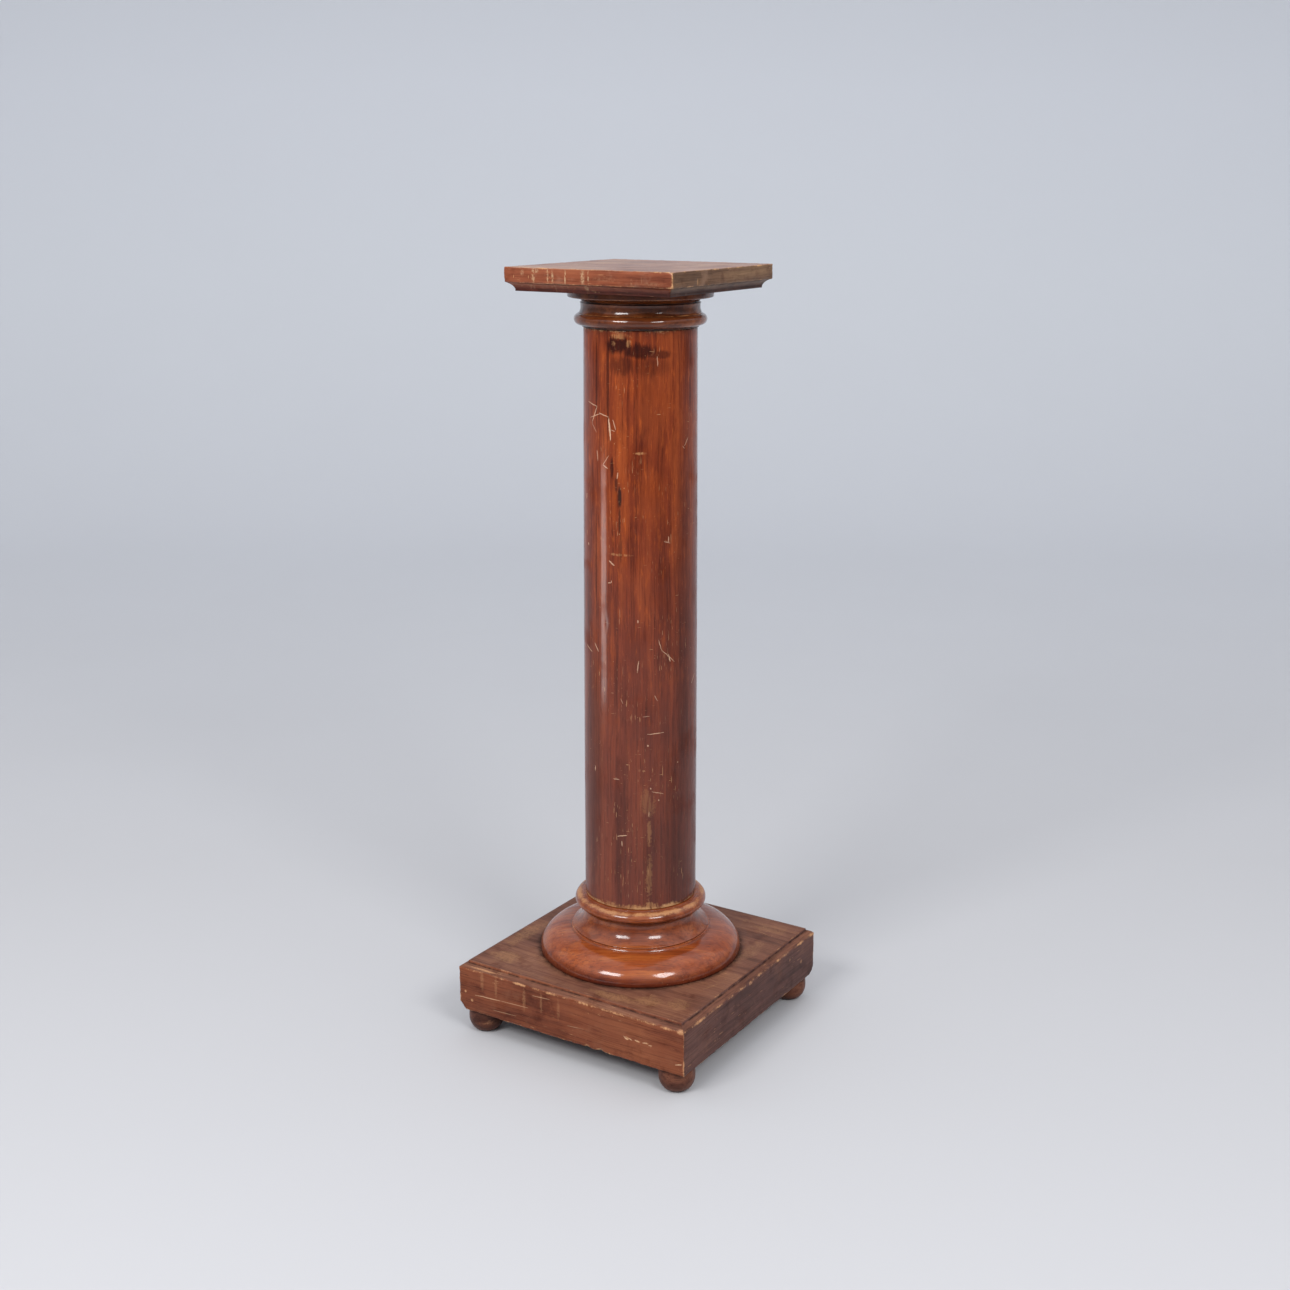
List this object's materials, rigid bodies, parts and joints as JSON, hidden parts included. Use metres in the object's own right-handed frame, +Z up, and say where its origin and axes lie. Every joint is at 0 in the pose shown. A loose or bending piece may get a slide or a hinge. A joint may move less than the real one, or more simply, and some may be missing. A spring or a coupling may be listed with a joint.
{
  "type": "display pedestal",
  "caption": "Turned hardwood column pedestal with a square moulded top board, a torus base and a square plinth on bun feet, for showing a bust, vase or plant.",
  "frame": {"origin": "on the ground, at the middle of the four feet", "axes": "+Z up along the column's axis, the plinth's front face towards -Y, its sides along +X and -X"},
  "size_m": [0.384, 0.384, 1.1],
  "materials": {
    "board_wood": "red-brown stain under old worn varnish, pale at the edges",
    "capital_wood": "dark brown stain, glossy old varnish",
    "shaft_wood": "red-brown mahogany stain, semi-gloss old varnish, long upright grain and fine scratches",
    "base_wood": "orange-brown stain, glossy old varnish, worn tan on the bead",
    "plinth_wood": "brown stain under dull worn varnish, scuffed tan at the edges",
    "foot_wood": "dark red-brown stain, satin"
  },
  "bodies": {
    "root": {"top_board": "board_wood", "capital": "capital_wood", "shaft": "shaft_wood", "base_collar": "base_wood", "base_torus": "base_wood", "plinth": "plinth_wood", "foot_front_left": "foot_wood", "foot_front_right": "foot_wood", "foot_back_left": "foot_wood", "foot_back_right": "foot_wood"}
  },
  "joints": []
}
